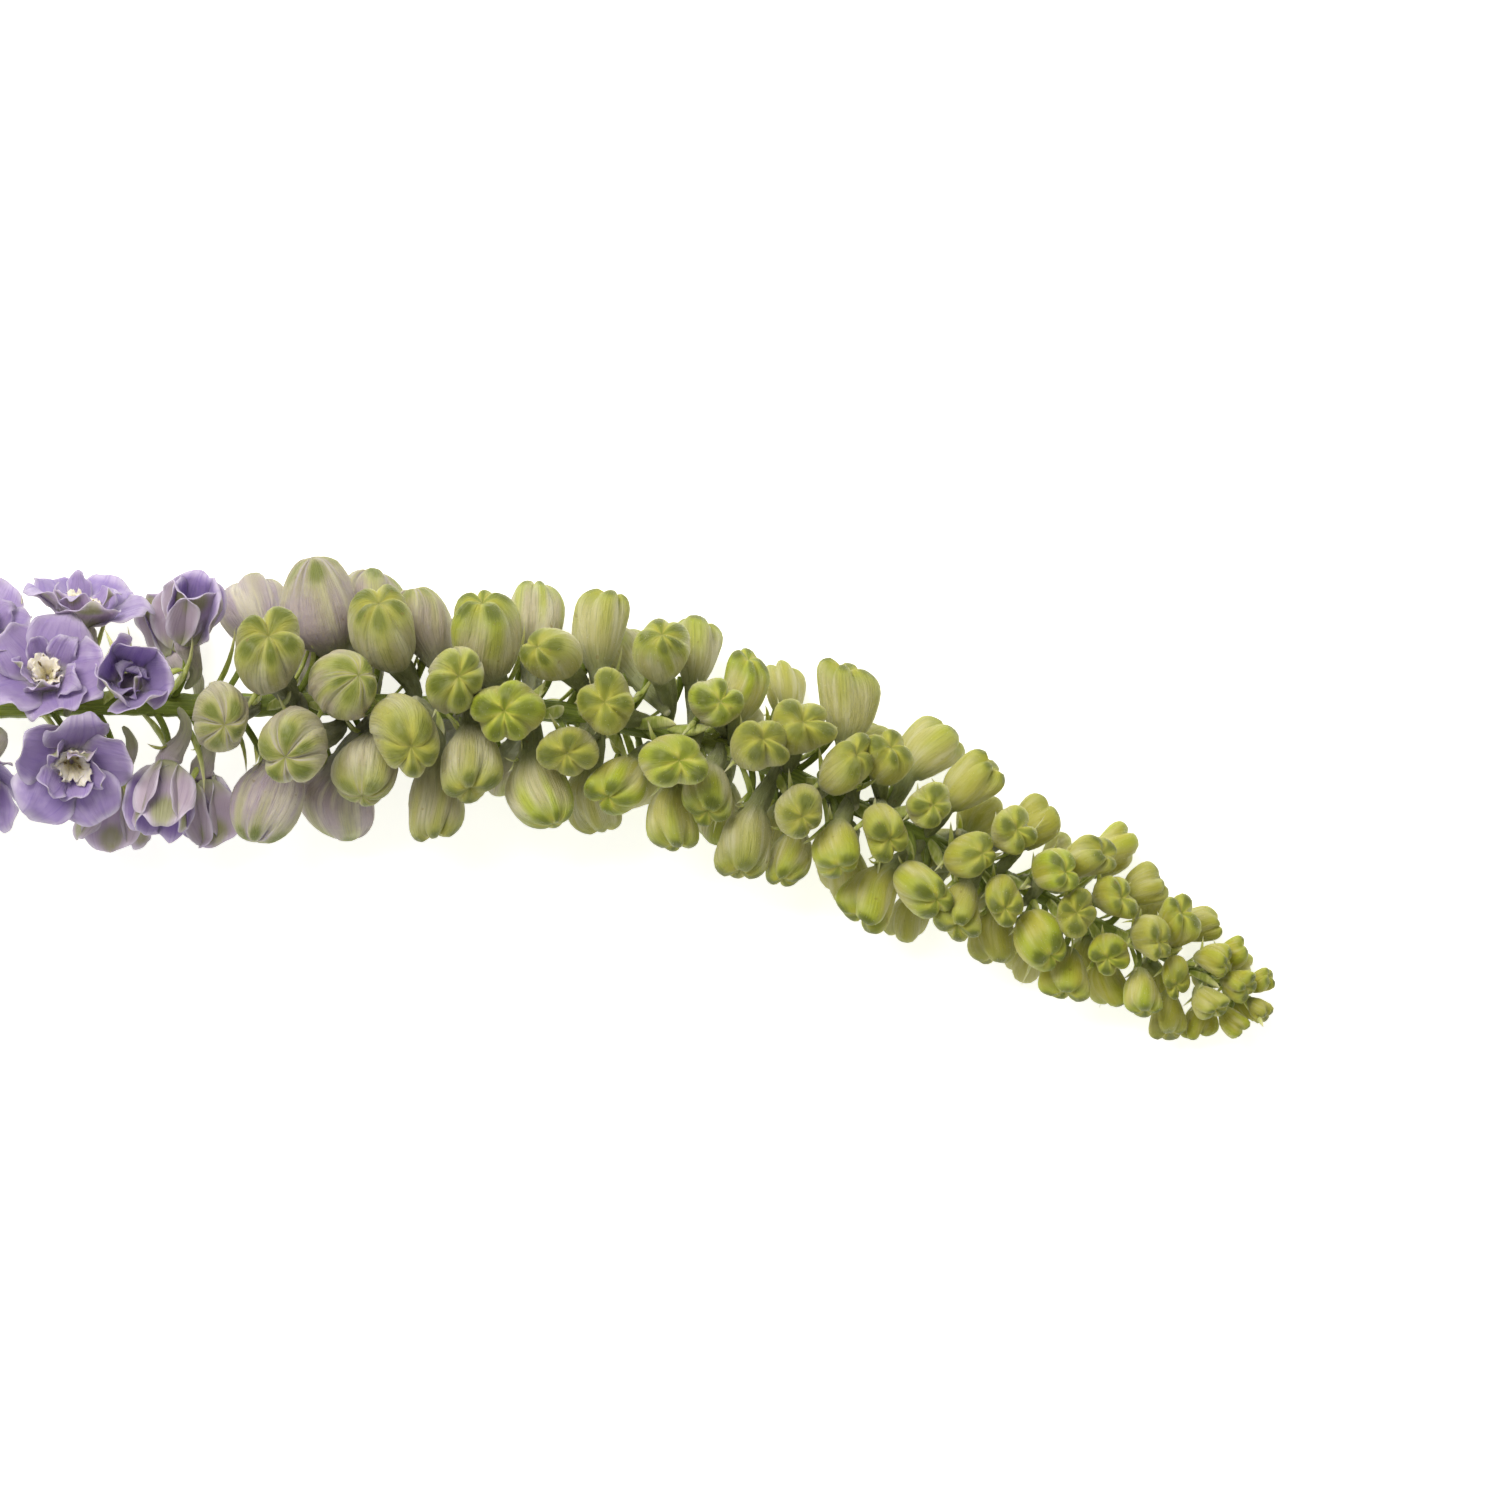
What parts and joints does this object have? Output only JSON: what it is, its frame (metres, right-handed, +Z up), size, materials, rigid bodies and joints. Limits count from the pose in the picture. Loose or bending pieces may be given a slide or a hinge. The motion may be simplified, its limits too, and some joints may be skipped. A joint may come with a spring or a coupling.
{
  "type": "cut delphinium flower spike",
  "caption": "Cut delphinium flower spike lying on its side, with open violet florets low on the stem, lilac buds above them and green buds up to the drooping tip.",
  "frame": {"origin": "middle of the whole spike's bounding box, on the surface it lies on", "axes": "+X from the cut end to the growing tip, +Z up from the surface, +Y to the left of someone looking along +X"},
  "size_m": [0.4462, 0.1246, 0.064],
  "materials": {
    "green": "matt, finely veined green of stem and unripe buds",
    "ripe": "matt pale lilac with greenish tips",
    "opening": "matt lilac, paler outside",
    "floret": "matt violet with fine darker veins",
    "eye": "matt cream, hairy"
  },
  "bodies": {
    "root": {"stem_with_green_buds": "green", "floret_01": "floret", "floret_02": "floret", "floret_03": "floret", "floret_04": "floret", "floret_05": "floret", "floret_06": "floret", "floret_07": "floret", "opening_flower_01": "opening", "opening_flower_02": "opening", "opening_flower_03": "opening", "opening_flower_04": "opening", "opening_flower_05": "opening", "opening_flower_06": "opening", "ripe_bud_01": "ripe", "ripe_bud_02": "ripe", "ripe_bud_03": "ripe", "ripe_bud_04": "ripe", "ripe_bud_05": "ripe", "ripe_bud_06": "ripe", "ripe_bud_07": "ripe", "ripe_bud_08": "ripe", "ripe_bud_09": "ripe", "ripe_bud_10": "ripe", "ripe_bud_11": "ripe", "ripe_bud_12": "ripe", "ripe_bud_13": "ripe", "ripe_bud_14": "ripe", "ripe_bud_15": "ripe", "ripe_bud_16": "ripe", "ripe_bud_17": "ripe", "eye_01": "eye", "eye_02": "eye", "eye_03": "eye", "eye_04": "eye", "eye_05": "eye", "eye_06": "eye", "eye_07": "eye"}
  },
  "joints": []
}
